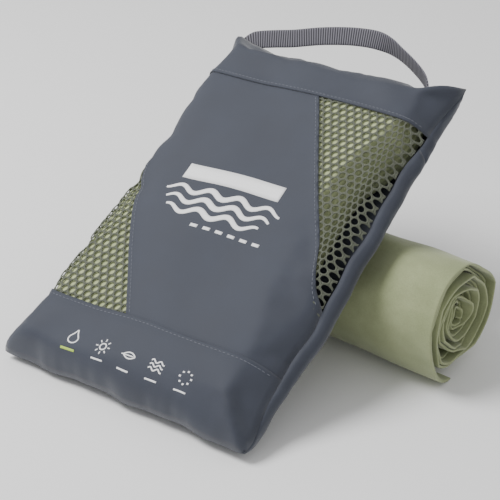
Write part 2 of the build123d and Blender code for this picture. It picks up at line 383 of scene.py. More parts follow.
def closed_sheet(flat, faces, low, high, joined=None):
    """Doubles a flat mesh into an underside at low and a topside at high, closed along its open edges.

    Vertices marked in joined are shared by both sides."""
    n = len(flat)
    twin = np.arange(n) + n
    if joined is not None:
        twin = np.where(joined, np.arange(n), twin)
    count = {}
    for f in faces:
        for a, b in zip(f, f[1:] + f[:1]):
            count[frozenset((a, b))] = count.get(frozenset((a, b)), 0) + 1
    out = list(faces) + [tuple(int(twin[i]) for i in f[::-1]) for f in faces]
    for f in faces:
        for a, b in zip(f, f[1:] + f[:1]):
            if count[frozenset((a, b))] == 1 and not (joined is not None and joined[a] and joined[b]):
                quad = [a, int(twin[a]), int(twin[b]), b]
                out.append(tuple(dict.fromkeys(quad)))
    heights = np.concatenate([np.broadcast_to(high, n), np.broadcast_to(low, n)])
    return np.vstack([flat, flat]), heights, out


def drop_loose(obj):
    """Drops points without faces and turns the faces outwards."""
    bm = bmesh.new()
    bm.from_mesh(obj.data)
    bmesh.ops.delete(bm, geom=[v for v in bm.verts if not v.link_faces], context="VERTS")
    bmesh.ops.recalc_face_normals(bm, faces=bm.faces)
    bm.to_mesh(obj.data)
    bm.free()


def sewn_piece(name, side, flat, faces, lift, thick, joined=None):
    """A piece of the case, following its skin, with real thickness."""
    lift = np.broadcast_to(lift, len(flat)).astype(float)
    thick = np.broadcast_to(thick, len(flat)).astype(float)
    both, heights, out = closed_sheet(np.asarray(flat), faces, lift - thick / 2, lift + thick / 2, joined)
    if side < 0:
        out = [f[::-1] for f in out]
    obj = new_object(name, leaned(skin.at(side, both[:, 0], both[:, 1], heights)), out)
    add_cut_uv(obj, both)
    drop_loose(obj)
    return obj


skin = Skin(*settle(*simulate_case()))


# ---- panels
def right_of(a, b):
    """Unit vector to the right of the line a to b."""
    d = np.array(b, float) - np.array(a, float)
    return np.array([d[1], -d[0]]) / np.linalg.norm(d)


def past_line(a, b, margin=0.0):
    """Half plane on the right-hand side of the line a to b, moved out by the margin."""
    return (np.array(a, float) + right_of(a, b) * margin, right_of(a, b))


def line_depth(u, v, a, b):
    """Distance to the left of the line a to b."""
    n = right_of(a, b)
    return -((u - a[0]) * n[0] + (v - a[1]) * n[1])


LEFT_EDGE = ((-SIDE, LEFT_SIDE), (LEFT_FOOT, LOW))  # centre panel lies to the left of each edge
RIGHT_EDGE = ((SIDE, RIGHT_SIDE), (RIGHT_HEAD, HIGH))


def build_front():
    made = {}
    bands = (("bottom_band", LOW, 1, 0, LOW + 1), ("top_band", HIGH, -1, HIGH - 1, CUT_H))
    for name, seam, up, foot, head in bands:
        flat, faces = cut_grid([((0, seam), (0, up))], box=(-SIDE, SIDE, foot, head))
        lift = 0.25 + 0.75 * (1 - smooth01((seam - flat[:, 1]) * up / 7.0))
        made[name] = sewn_piece(name + "_cloth", 1, flat, faces, fade(flat, lift), 0.8)
    planes = [past_line(*LEFT_EDGE), past_line(*RIGHT_EDGE)]
    flat, faces = cut_grid(planes, box=(-SIDE, SIDE, LOW - 4, HIGH + 4))
    near = np.minimum(line_depth(*flat.T, *LEFT_EDGE), line_depth(*flat.T, *RIGHT_EDGE))
    lift = 0.1 + 0.45 * (1 - smooth01(near / 6.0))
    made["centre_panel"] = sewn_piece("centre_panel_cloth", 1, flat, faces, fade(flat, lift), 0.7)
    return made


def fade(flat, lift):
    """Layers close up towards the sewn rim."""
    return lift * smooth01(rim_distance(flat[:, 0], flat[:, 1]) / 4.0)


def build_net(name, planes):
    """Net with rounded holes in columns along the centre panel's edge."""
    pitch, column = 5.4, 5.3  # from hole to hole along a column, and from column to column
    a, b = np.array(RIGHT_EDGE[0]), np.array(RIGHT_EDGE[1])
    along = (b - a) / np.linalg.norm(b - a)
    across = np.array([along[1], -along[0]])
    bm = bmesh.new()
    level = bm.verts.layers.float.new("level")
    steps = 18
    angles = np.arange(steps) * 2 * math.pi / steps
    half, flank, tip = pitch / 2, column * 0.34, column * 0.66
    hexagon = [(half, -flank), (half, flank), (0, tip), (-half, flank), (-half, -flank), (0, -tip)]

    def edge_point(angle):
        d = np.array([math.cos(angle), math.sin(angle)])
        best = 1e9
        for k in range(6):
            p, q = hexagon[k], hexagon[(k + 1) % 6]
            m = np.array([[d[0], p[0] - q[0]], [d[1], p[1] - q[1]]])
            if abs(np.linalg.det(m)) > 1e-9:
                t, s = np.linalg.solve(m, p)
                if t > 0 and -1e-9 <= s <= 1 + 1e-9:
                    best = min(best, t)
        return d * best

    outer = np.array([edge_point(t + math.pi / steps) for t in angles])
    hole = np.stack([np.cos(angles + math.pi / steps) * 2.08, np.sin(angles + math.pi / steps) * 2.30], 1)
    rings = [(outer, 1.0), (outer * 0.45 + hole * 0.55, 0.85), (hole * 0.9 + outer * 0.1, 0.5), (hole, 0.0)]
    for col in range(-40, 41):
        for row in range(-60, 61):
            centre = a + across * (col * column) + along * ((row + 0.5 * (col % 2)) * pitch)
            if all((centre - p) @ n < 5.5 for p, n in planes):
                loops = []
                for ring, height in rings:
                    loop = []
                    for x, y in ring:
                        p = centre + along * x + across * y
                        vert = bm.verts.new((p[0], p[1], 0))
                        vert[level] = height
                        loop.append(vert)
                    loops.append(loop)
                for one, two in zip(loops, loops[1:]):
                    for k in range(steps):
                        m = (k + 1) % steps
                        bm.faces.new((one[k], one[m], two[m], two[k]))
    flat, faces, height = cut_back(bm, planes, 0.12, level)
    thick = 0.75 * np.sqrt(height) + 0.02
    return sewn_piece(name, 1, flat, faces, 0.0, thick, joined=height < 0.02)


# ---- materials
class Nodes:
    """Small helper round one material's node tree."""

    def __init__(self, name, roughness, base=(0.5, 0.5, 0.5), sheen=0.0, metallic=0.0, specular=0.3):
        self.mat = bpy.data.materials.new(name)
        self.mat.use_nodes = True
        self.tree = self.mat.node_tree
        self.bsdf = self.tree.nodes["Principled BSDF"]
        self.set(self.bsdf, "Base Color", (*base, 1))
        self.set(self.bsdf, "Roughness", roughness)
        self.set(self.bsdf, "Metallic", metallic)
        self.set(self.bsdf, "Specular IOR Level", specular)
        self.set(self.bsdf, "Sheen Weight", sheen)
        self.set(self.bsdf, "Sheen Roughness", 0.45)
        self.mat.diffuse_color = (*base, 1)

    @staticmethod
    def set(node, name, value):
        node.inputs[name].default_value = value

    def add(self, kind, links=None, **values):
        node = self.tree.nodes.new("ShaderNode" + kind)
        for key, value in values.items():
            if hasattr(node, key):
                setattr(node, key, value)
            else:
                node.inputs[key.replace("_", " ")].default_value = value
        for name, source in (links or {}).items():
            self.tree.links.new(source, node.inputs[name])
        return node

    def feed(self, node, key, x):
        """Sets an input to a number or a colour, or links it."""
        if isinstance(x, tuple):
            node.inputs[key].default_value = (*x, 1)
        elif isinstance(x, (int, float)):
            node.inputs[key].default_value = x
        else:
            self.tree.links.new(x, node.inputs[key])

    def maths(self, operation, *terms):
        node = self.add("Math", operation=operation)
        for k, x in enumerate(terms):
            self.feed(node, k, x)
        return node.outputs[0]

    def cut(self, scale):
        """The flat cut position in mm, times the scale."""
        uv = self.add("UVMap", uv_map="cut")
        node = self.add("VectorMath", {0: uv.outputs[0]}, operation="SCALE")
        node.inputs["Scale"].default_value = 100.0 * scale
        split = self.add("SeparateXYZ", {0: node.outputs[0]})
        return node.outputs[0], split.outputs[0], split.outputs[1]

    def space(self, scale):
        """Object position in mm, times the scale."""
        at = self.add("TexCoord")
        node = self.add("VectorMath", {0: at.outputs["Object"]}, operation="SCALE")
        node.inputs["Scale"].default_value = 1000.0 * scale
        return node.outputs[0]

    def noise(self, vector, scale, detail=3.0, roughness=0.5):
        node = self.add("TexNoise", {"Vector": vector}, Scale=scale, Detail=detail, Roughness=roughness)
        return node.outputs[0]

    def ramp(self, value, stops):
        node = self.add("ValToRGB", {"Fac": value})
        ramp = node.color_ramp
        while len(ramp.elements) < len(stops):
            ramp.elements.new(0.5)
        for element, (place, colour) in zip(ramp.elements, stops):
            element.position = place
            element.color = (*colour, 1)
        return node.outputs[0]

    def blend(self, factor, one, two, kind="MIX"):
        node = self.add("Mix", data_type="RGBA", blend_type=kind)
        for k, x in ((0, factor), (6, one), (7, two)):
            self.feed(node, k, x)
        return node.outputs[2]

    def finish(self, colour=None, height=None, distance=0.0001, strength=0.6, rough=None):
        if colour is not None:
            self.tree.links.new(colour, self.bsdf.inputs["Base Color"])
        if rough is not None:
            self.tree.links.new(rough, self.bsdf.inputs["Roughness"])
        if height is not None:
            bump = self.add("Bump", {"Height": height}, Distance=distance, Strength=strength)
            self.tree.links.new(bump.outputs[0], self.bsdf.inputs["Normal"])
        return self.mat


def woven(name, base, dark, light, pitch=0.55):
    """Fine plain weave on the flat cut, with slow shade changes and handling marks."""
    n = Nodes(name, 0.62, base, sheen=0.25)
    vector, u, v = n.cut(1.0)
    a = n.maths("SINE", n.maths("MULTIPLY", n.maths("ADD", u, v), 2 * math.pi / pitch * 0.7071))
    b = n.maths("SINE", n.maths("MULTIPLY", n.maths("SUBTRACT", u, v), 2 * math.pi / pitch * 0.7071))
    weave = n.maths("MULTIPLY_ADD", n.maths("MULTIPLY", a, b), 0.5, 0.5)
    slub = n.noise(vector, 1.9, 2.0, 0.7)
    cloudy = n.noise(vector, 0.028, 4.0, 0.55)
    fine = n.blend(weave, dark, light)
    shade = n.ramp(cloudy, [(0.3, (0.86, 0.86, 0.87)), (0.7, (1.12, 1.12, 1.11))])
    fine = n.blend(1.0, fine, shade, "MULTIPLY")
    fleck = n.ramp(slub, [(0.35, (0.90, 0.90, 0.90)), (0.65, (1.08, 1.08, 1.09))])
    fine = n.blend(1.0, fine, fleck, "MULTIPLY")
    height = n.maths("ADD", n.maths("MULTIPLY", weave, 0.7), n.maths("MULTIPLY", slub, 0.5))
    rough = n.ramp(cloudy, [(0.2, (0.58, 0.58, 0.58)), (0.8, (0.70, 0.70, 0.70))])
    return n.finish(fine, height, 0.00012, 0.55, rough)


def microfibre(name, light):
    """Suede-like pile: short brushed nap, soft patches where it has been stroked, a fine knit below."""
    n = Nodes(name, 0.9, (0.40, 0.42, 0.30), sheen=0.3, specular=0.15)
    shades = ((0.30, (0.272, 0.306, 0.166)), (0.55, (0.316, 0.350, 0.196)), (0.75, (0.355, 0.389, 0.223)))
    at = n.space(1.0)
    nap = n.noise(at, 1.3, 4.0, 0.7)
    stroke = n.noise(at, 0.045, 3.0, 0.6)
    knit = n.add("TexVoronoi", {"Vector": at}, Scale=1.6).outputs["Distance"]
    # light scales the whole colour; the copy made at 1.5 is painted light, the roll's microfibre brightened
    # to stand in for brighter lighting.
    tone = n.ramp(stroke, [(place, tuple(c * light for c in shade)) for place, shade in shades])
    grain = n.ramp(nap, [(0.3, (0.88, 0.88, 0.87)), (0.7, (1.08, 1.08, 1.07))])
    colour = n.blend(1.0, tone, grain, "MULTIPLY")
    height = n.maths("ADD", nap, n.maths("MULTIPLY", knit, 0.5))
    return n.finish(colour, height, 0.00018, 0.5)


def plain(name, base, roughness=0.6, noise=0.9, spread=0.15, bump=0.00006, **shine):
    """One colour with fine grain and slow variation."""
    n = Nodes(name, roughness, base, **shine)
    at = n.space(1.0)
    grain = n.noise(at, noise, 4.0, 0.65)
    low, high = 1 - spread, 1 + spread
    tone = n.ramp(grain, [(0.3, tuple(c * low for c in base)), (0.7, tuple(min(c * high, 1) for c in base))])
    polished, dull = roughness * 0.9, min(roughness * 1.12, 1)
    rough = n.ramp(n.noise(at, noise * 0.12, 3.0), [(0.2, (polished,) * 3), (0.8, (dull,) * 3)])
    return n.finish(tone, grain, bump, 0.5, rough)


def webbing_material():
    """Ribbed webbing: each rib a turn of yarn, with a painted highlight on its crown and painted shade in its
    groove.
    """
    n = Nodes("ribbed_webbing", 0.7, (0.33, 0.32, 0.36), sheen=0.15)
    vector, u, v = n.cut(1.0)
    rib = n.maths("SINE", n.maths("MULTIPLY", u, 2 * math.pi / RIB_PITCH))
    yarn = n.maths("SINE", n.maths("MULTIPLY", v, 2 * math.pi / 0.55))
    level = n.maths("MULTIPLY_ADD", rib, 0.5, 0.5)
    # Painted highlight on each rib's crown and painted shade in each groove, following the rib's height.
    groove, flank, crown = (0.035, 0.034, 0.042), (0.10, 0.097, 0.117), (0.22, 0.213, 0.245)
    tone = n.ramp(level, [(0.12, groove), (0.5, flank), (0.9, crown)])
    fleck = n.ramp(n.noise(vector, 2.2, 3.0, 0.7), [(0.3, (0.85, 0.85, 0.85)), (0.7, (1.12, 1.12, 1.12))])
    colour = n.blend(1.0, tone, fleck, "MULTIPLY")
    height = n.maths("ADD", level, n.maths("MULTIPLY", yarn, 0.12))
    return n.finish(colour, height, 0.0001, 0.5)


RIB_PITCH = 1.75
SLATE = woven("slate_polyester", (0.042, 0.048, 0.066), (0.032, 0.037, 0.051), (0.052, 0.059, 0.081))
SUEDE = microfibre("microfibre_suede", 1.0)
# Painted light: the roll's microfibre at 1.5 times its colour, standing in for the brighter light on the
# folded towel behind the net.
MICROFIBRE_PAINTED_LIT = microfibre("microfibre_painted_lit", 1.5)
NET = plain("net_knit", (0.105, 0.115, 0.085), 0.75, 2.2, 0.22, 0.0001, sheen=0.2)
WEB = webbing_material()
THREAD = plain("sewing_thread", (0.15, 0.16, 0.19), 0.6, 3.0, 0.12)
PRINT = plain("white_print", (0.90, 0.90, 0.91), 0.5, 1.4, 0.05)
LIME = plain("lime_print", (0.45, 0.62, 0.10), 0.5, 1.4, 0.06)
TAPE = woven("zip_tape_twill", (0.05, 0.055, 0.07), (0.035, 0.04, 0.05), (0.07, 0.075, 0.095), 0.8)
COIL = plain("nylon_coil", (0.035, 0.038, 0.048), 0.38, 1.5, 0.1, specular=0.5)
METAL = plain("lacquered_zinc", (0.09, 0.09, 0.105), 0.34, 0.7, 0.12, metallic=0.85, specular=0.5)


def dress(obj, material, slot, body, *nodes):
    obj.data.materials.clear()
    obj.data.materials.append(material)
    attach(obj, body)
    if nodes:
        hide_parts(*nodes)
    return obj


# ---- pouch cloth
def merge(name, chunks):
    """One object from (verts, faces, cut) chunks."""
    verts, faces, cuts, base = [], [], [], 0
    for v, f, c in chunks:
        verts.append(v)
        cuts.append(c)
        faces += [tuple(i + base for i in face) for face in f]
        base += len(v)
    obj = new_object(name, np.vstack(verts), faces)
    add_cut_uv(obj, np.vstack(cuts))
    return obj


def stitch_row(side, a, b, height, pitch=3.1, length=2.2, radius=0.24):
    """Stitches between two cut positions, each a short rounded thread lying on the cloth."""
    a, b = np.array(a, float), np.array(b, float)
    span = np.linalg.norm(b - a)
    d = (b - a) / span
    count = max(1, round(span / pitch))
    profile = [(-0.5, 0.0), (-0.42, 0.7), (-0.15, 1.0), (0.15, 1.0), (0.42, 0.7), (0.5, 0.0)]
    out = []
    for k in range(count):
        centre = a + d * (k + 0.5) * span / count
        verts, faces = [], []
        normal = skin.normal(side, *centre)
        p0 = skin.at(side, *centre, height)
        ahead = skin.at(side, *(centre + d * 0.6), height) - p0
        t = ahead / np.linalg.norm(ahead)
        across = np.cross(normal, t)
        for x, r in profile:
            dip = -abs(x) * 0.5
            ring = 1 if r == 0 else 6
            for m in range(ring):
                angle = m * math.pi / 3
                off = across * math.cos(angle) * r * radius + normal * (math.sin(angle) * r * radius + dip)
                verts.append(p0 + t * x * length + off)
        faces += [(0, 1 + (m + 1) % 6, 1 + m) for m in range(6)]
        for q in range(3):
            base = 1 + 6 * q
            faces += [(base + m, base + (m + 1) % 6, base + 6 + (m + 1) % 6, base + 6 + m) for m in range(6)]
        last, base = 25, 19
        faces += [(base + m, base + (m + 1) % 6, last) for m in range(6)]
        out.append((leaned(np.array(verts)), faces, np.zeros((len(verts), 2))))
    return out


def shifted(edge, distance):
    """The line moved to its left."""
    a, b = np.array(edge, float)
    n = right_of(a, b) * distance
    return a - n, b - n


def inside_rim(a, b, margin=3.0):
    """Shortens a line so that it stays inside the rim."""
    a, b = np.array(a, float), np.array(b, float)
    t = [k / 400 for k in range(401) if rim_distance(*(a + (b - a) * k / 400)) > margin]
    return a + (b - a) * t[0], a + (b - a) * t[-1]


def without_slot(flat, faces, past, half):
    """The faces outside a slot along the zip that reaches past the row's ends."""
    u, v = np.array([flat[list(f)].mean(0) for f in faces]).T
    slot = (u > ZIP_LEFT - past) & (u < ZIP_RIGHT + past) & (np.abs(v - ZIP_CUT) < half)
    return [f for f, gone in zip(faces, slot) if not gone]


def build_back():
    """Two back panels hemmed each side of the zip, closed over its ends."""
    made = {}
    for name, box in (
        ("back_panel_lower", (-SIDE, SIDE, 0, ZIP_CUT)),
        ("back_panel_upper", (-SIDE, SIDE, ZIP_CUT, CUT_H)),
    ):
        flat, faces = cut_grid([], box=box)
        faces = without_slot(flat, faces, 1, 6.0)
        past_end = np.maximum(ZIP_LEFT - 1 - flat[:, 0], flat[:, 0] - ZIP_RIGHT - 1)
        near = np.maximum(np.abs(flat[:, 1] - ZIP_CUT) - 6.0, past_end)
        lift = 0.1 + 0.45 * (1 - smooth01(near / 6.0))
        made[name] = sewn_piece(name + "_cloth", -1, flat, faces, fade(flat, lift), 0.8)
    return made


def cut_place_for(wanted, low, high, place):
    """The cut position between low and high whose place on the back is the wanted one."""
    for _ in range(40):
        mid = (low + high) / 2
        if place(mid) < wanted:
            low = mid
        else:
            high = mid
    return low


ZIP_CUT = cut_place_for(ZIP_V, 200.0, 260.0, lambda v: skin.base(-1, 0.0, v)[1])
ZIP_LEFT = cut_place_for(ZIP_START, -SIDE, SIDE, lambda u: skin.base(-1, u, ZIP_CUT)[0])
ZIP_RIGHT = cut_place_for(ZIP_END, -SIDE, SIDE, lambda u: skin.base(-1, u, ZIP_CUT)[0])
rim_planes = [((-SIDE + 0.5, 0), (-1, 0)), ((SIDE - 0.5, 0), (1, 0))]
cloths = build_front()
left_planes = [past_line(*reversed(LEFT_EDGE), margin=4.0), ((0, LOW - 4), (0, -1)), *rim_planes]
right_planes = [past_line(*reversed(RIGHT_EDGE), margin=4.0), ((0, HIGH + 4), (0, 1)), *rim_planes]
cloths["left_net"] = build_net("left_net_mesh", left_planes)
cloths["right_net"] = build_net("right_net_mesh", right_planes)
cloths.update(build_back())
for node, obj in cloths.items():
    is_net = node.endswith("net")
    dress(obj, NET if is_net else SLATE, "net_mesh" if is_net else "slate_fabric", "pouch", node)

STITCH_IN = 2.4  # from a panel's edge to its row of stitches
rows = []
for a, b, h in (
    ((-SIDE, LOW - STITCH_IN), (SIDE, LOW - STITCH_IN), 1.35),
    ((-SIDE, HIGH + STITCH_IN), (SIDE, HIGH + STITCH_IN), 1.35),
    (*shifted(LEFT_EDGE, STITCH_IN), 0.92),
    (*shifted(RIGHT_EDGE, STITCH_IN), 0.92),
):
    if abs(a[1] - b[1]) > 1:
        t = [k / 400 for k in range(401) if LOW + 1 < a[1] + (b[1] - a[1]) * k / 400 < HIGH - 1]
        a, b = a + (b - a) * t[0], a + (b - a) * t[-1]
    rows += stitch_row(1, *inside_rim(a, b), h)
for off in (-8.2, 8.2):
    rows += stitch_row(-1, (ZIP_LEFT - 4, ZIP_CUT + off), (ZIP_RIGHT + 4, ZIP_CUT + off), 1.0)
for end in (ZIP_LEFT - 4, ZIP_RIGHT + 4):
    rows += stitch_row(-1, (end, ZIP_CUT - 8), (end, ZIP_CUT + 8), 1.0)
dress(merge("stitching", rows), THREAD, "slate_fabric", "pouch")


# ---- print, all plain shapes
def ribbon(points, widths, height):
    """A flat stroke of print through cut positions on the front, as a thin closed strip."""
    p = np.array(points, float)
    w = np.broadcast_to(widths, len(p)) / 2.0
    d = np.gradient(p, axis=0)
    d /= np.linalg.norm(d, axis=1, keepdims=True) + 1e-9
    n = np.stack([-d[:, 1], d[:, 0]], 1)
    cols = 4
    flat = np.concatenate([p + n * (w * (2 * c / (cols - 1) - 1))[:, None] for c in range(cols)])
    faces = [f[::-1] for f in grid_faces(cols, len(p))]
    both, heights, out = closed_sheet(flat, faces, height - 0.05, height + 0.05)
    return leaned(skin.at(1, both[:, 0], both[:, 1], heights)), out, both


def line(a, b, step=2.0):
    a, b = np.array(a, float), np.array(b, float)
    return a + (b - a) * np.linspace(0, 1, max(3, int(np.linalg.norm(b - a) / step)))[:, None]


def curve(fun, a, b, count):
    return np.array([fun(t) for t in np.linspace(a, b, count)])


def wave(u0, u1, v, high, length):
    u = np.arange(u0, u1 + 0.1, 0.8)
    return np.stack([u, v + high * np.sin((u - u0) / length * 2 * math.pi)], 1)


PANEL_TOP = 0.1 + 0.35 + 0.07
BAND_TOP = 0.25 + 0.40 + 0.07
marks = [ribbon(line((-45, 159.5), (32, 160.0)), 11.5, PANEL_TOP)]
for k, v in enumerate((146.0, 138.2, 130.4)):
    u = np.arange(-51 + 4 * k, 41 - 5 * k, 0.8)
    swell = 1.5 + 2.5 * np.sin((u - u[0]) / (u[-1] - u[0]) * math.pi) ** 0.7
    path = np.stack([u, v + 2.3 * np.sin(u / 23.0 * 2 * math.pi)], 1)
    marks.append(ribbon(path, swell, PANEL_TOP))
for k in range(6):
    marks.append(ribbon(line((-16 + 9.8 * k, 121), (-10.5 + 9.8 * k, 121), 1.0), 2.2, PANEL_TOP))


def icon_marks():
    """Five plain pictures on the bottom band: drop, sun, leaf, waves, ring of dots."""
    out = []
    v = 24.0

    def drop(t):
        up = math.sin(t)
        r = 3.5 * (1 - 0.25 * up)
        return (-42 + r * math.cos(t) * (1 - 0.55 * max(up, 0)), v + 4.2 * up + 1.2 * max(up, 0) ** 6)

    def sun(t):
        return (-18.5 + 2.2 * math.cos(t), v + 2.2 * math.sin(t))

    out.append(ribbon(curve(drop, 0, 2 * math.pi, 44), 0.9, BAND_TOP))
    out.append(ribbon(curve(sun, 0, 2 * math.pi, 36), 0.9, BAND_TOP))
    for k in range(8):
        c, s = math.cos(k * math.pi / 4), math.sin(k * math.pi / 4)
        ray = line((-18.5 + 3.6 * c, v + 3.6 * s), (-18.5 + 5.4 * c, v + 5.4 * s), 0.5)
        out.append(ribbon(ray, 0.8, BAND_TOP))
    for bow in (1.9, -1.9):
        out.append(ribbon(curve(lambda t: (2.5 + 4.6 * t, v + bow * (1 - t * t)), -1, 1, 22), 0.8, BAND_TOP))
    out.append(ribbon(line((-3.5, v - 0.2), (5.9, v), 0.8), 0.7, BAND_TOP))
    for k in (-1, 0, 1):
        out.append(ribbon(wave(18.5, 29.5, v + 2.5 * k, 0.9, 5.5), 0.9, BAND_TOP))
    for k in range(8):
        c, s = 46 + 4.2 * math.cos(k * math.pi / 4), v + 4.2 * math.sin(k * math.pi / 4)
        out.append(ribbon(line((c - 0.7, s), (c + 0.7, s), 0.3), 1.2, BAND_TOP))
    for u in (-18.5, 2.5, 24, 46):
        out.append(ribbon(line((u - 4.5, v - 8.8), (u + 4.5, v - 8.8), 1.0), 1.0, BAND_TOP))
    return out


dress(merge("print_white", marks + icon_marks()), PRINT, "slate_fabric", "pouch")
lime_bar = ribbon(line((-47.5, 15.2), (-36.5, 15.2), 1.0), 1.5, BAND_TOP)
dress(merge("print_lime", [lime_bar]), LIME, "slate_fabric", "pouch")


# ---- zip
def zip_parts():
    """Tapes that meet past the ends of the row, and coil teeth that close the row between them."""
    made = {}
    for name, sign in (("lower", -1), ("upper", 1)):
        a, b = sorted((ZIP_CUT, ZIP_CUT + sign * 10.0))
        flat, faces = cut_grid([], cell=2.0, box=(ZIP_LEFT - 4, ZIP_RIGHT + 4, a, b))
        faces = without_slot(flat, faces, -2, 1.5)
        tape = sewn_piece("zip_tape_%s_cloth" % name, -1, flat, faces, -0.55, 0.4)
        made["zip_tape_" + name] = (tape, TAPE, "zip_tape")
        teeth = []
        for u in np.arange(ZIP_LEFT + 2.6, ZIP_RIGHT - 2.2, 1.45) + sign * 0.36:
            a, b = (u, ZIP_CUT + sign * 2.6), (u, ZIP_CUT - sign * 0.45)
            teeth += stitch_row(-1, a, b, -0.45, pitch=3.05, length=3.0, radius=0.36)
        made["zip_coil_" + name] = (merge("zip_coil_%s_teeth" % name, teeth), COIL, "zip_coil")
    return made


for node, (obj, material, slot) in zip_parts().items():
    dress(obj, material, slot, "pouch", node)

for node in ("zip_stop_left", "zip_stop_right", "slider_body", "pull_tab"):
    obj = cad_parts[node]
    obj.data.materials.clear()
    obj.data.materials.append(METAL)
    edge = obj.modifiers.new("edge", "BEVEL")
    edge.width, edge.segments, edge.limit_method = 0.00022, 3, "ANGLE"


# ---- towels
def pack_outline(t):
    """Edge of the folded towel in flat cut positions: close to the left rim, short of the right one."""
    c, s = math.cos(t), math.sin(t)
    r = (abs(c) ** 9 + abs(s) ** 9) ** (-1 / 9)
    v = 144.0 + 126.0 * r * s
    right = 61.0 + 18.0 * smooth01((v - 185.0) / 70.0)
    return ((94.0 if c < 0 else right) * r * c, v)


def folded_pack():
    """The folded towel that fills the pouch and presses on its cloth, with stacked folds at its sides."""
    around = np.array([pack_outline(2 * math.pi * (k + 0.5) / 280) for k in range(280)])
    centre = np.array([0.0, 144.0])
    rings = [(x, 1.0, 0.0) for x in np.linspace(0.03, 0.90, 26)]
    for k in range(65):
        t = k / 64
        crown = (1 - abs(1 - 2 * t) ** 3.2) ** (1 / 2.2)
        fold = abs(math.sin(t * 8 * math.pi)) ** 0.6
        rings.append((0.925 + 0.075 * crown, 1 - 2 * t, 1.5 * (fold - 1) * min(1, 6 * t, 6 * (1 - t))))
    rings += [(x, -1.0, 0.0) for x in np.linspace(0.90, 0.03, 26)]
    verts = []
    for share, level, dent in rings:
        ring = (around - centre) * share
        length = np.linalg.norm(ring, axis=1, keepdims=True)
        sway = 0.5 * np.sin(ring[:, :1] / 23.0 + level * 3) + 0.5 * np.sin(ring[:, 1:] / 31.0 + level * 4)
        ring = ring * (1 + (dent + (sway if share > 0.92 else 0)) / length) + centre
        u, v = ring[:, 0], ring[:, 1]
        u = np.where(u < 0, u * (1 - 0.10 * max(-level, 0.0)), u)  # its underside stops short of the rim
        near_zip = smooth01((20 - np.abs(v - ZIP_CUT)) / 6.0)
        top = skin.at(1, u, v, -1.25)
        low = skin.at(-1, u, v, -2.2 - 1.0 * near_zip)
        middle, half = (top + low) / 2, (top - low) / 2
        thick = half[:, 2:]
        half = half * np.maximum(thick, 0.15) / np.where(np.abs(thick) < 0.01, 0.01, thick)
        verts.append(middle + half * level)
    n = len(around)
    faces = []
    for one in range(0, (len(rings) - 1) * n, n):
        two = one + n
        faces += [(two + k, two + (k + 1) % n, one + (k + 1) % n, one + k) for k in range(n)]
    faces += [tuple(range(n)), tuple(range((len(rings) - 1) * n, len(rings) * n))[::-1]]
    return new_object("folded_towel_pack", leaned(np.vstack(verts)), faces)


# The folded towel takes the painted-light copy of the microfibre.
pack = dress(folded_pack(), MICROFIBRE_PAINTED_LIT, "microfibre", "pouch", "folded_towel")

# The roll's radius every 30 degrees from +Y, its turns, their pitch, and where its outer edge lies.
ROLL_SHAPE = (41.0, 40.5, 40.5, 43.0, 48.0, 46.5, 44.5, 43.5, 44.0, 40.0, 40.0, 42.0)
TURNS, PITCH = 5.0, 7.9
ROLL_START = math.radians(250.0)


def roll_radius(angle, x):
    """Outline of the roll: loose and uneven at its free end, pressed where the pouch lies on it."""
    steps = len(ROLL_SHAPE)
    t = np.mod(angle / (2 * math.pi) * steps, steps)
    i = np.floor(t).astype(int)
    w = catmull(t - i)
    free = sum(w[..., k] * np.array(ROLL_SHAPE)[(i + k - 1) % steps] for k in range(4))
    press = 38.9 / np.maximum(np.cos(angle - (math.pi / 2 + LEAN)), 0.3)
    held = np.minimum(free * 0.97, press)
    share = smooth01((x - 66.0) / 30.0)
    floor = 39.8 / np.maximum(-np.sin(angle), 0.3)
    return np.minimum(held * (1 - share) + free * share, np.where(np.sin(angle) < -0.3, floor, 99.0))


def roll_point(s, offset, x):
    """s from 0 at the core to 1 at the outer edge; offset in mm inwards from the strip's outer layer."""
    angle = ROLL_START + 2 * math.pi * TURNS * (s - 1)
    outer = roll_radius(angle, x)
    depth = (1 - s) * TURNS * PITCH + offset
    share = np.clip(1 - depth / 42.0, 0.03, 1)
    loose = smooth01((np.abs(x) - 90.0) / 34.0)
    facet = 1 / np.cos(np.mod(angle - 0.35 * s * TURNS, 2 * math.pi / 5) - math.pi / 5) - 1.08
    sway = np.sin(3.0 * angle + 1.9 * s * TURNS) * 0.9
    buckle = facet * outer * share * 0.5 + sway + np.sin(2.0 * angle - 6.0 * s) * 0.8
    soft = 0.35 * np.sin(angle * 4 + x / 21.0) + 0.3 * np.sin(angle * 7 - x / 13.0 + 2.0 * s)
    uneven = buckle * loose * smooth01(depth / 8.0) + soft * (0.45 + 0.5 * loose)
    r = outer * share * (1 - 0.12 * (1 - share)) + uneven * (0.35 + 0.65 * share)
    z = np.maximum(ROLL_AT[2] + r * np.sin(angle), 0.3 + 0.04 * depth)
    return np.stack([x, ROLL_AT[1] + r * np.cos(angle), z], -1)


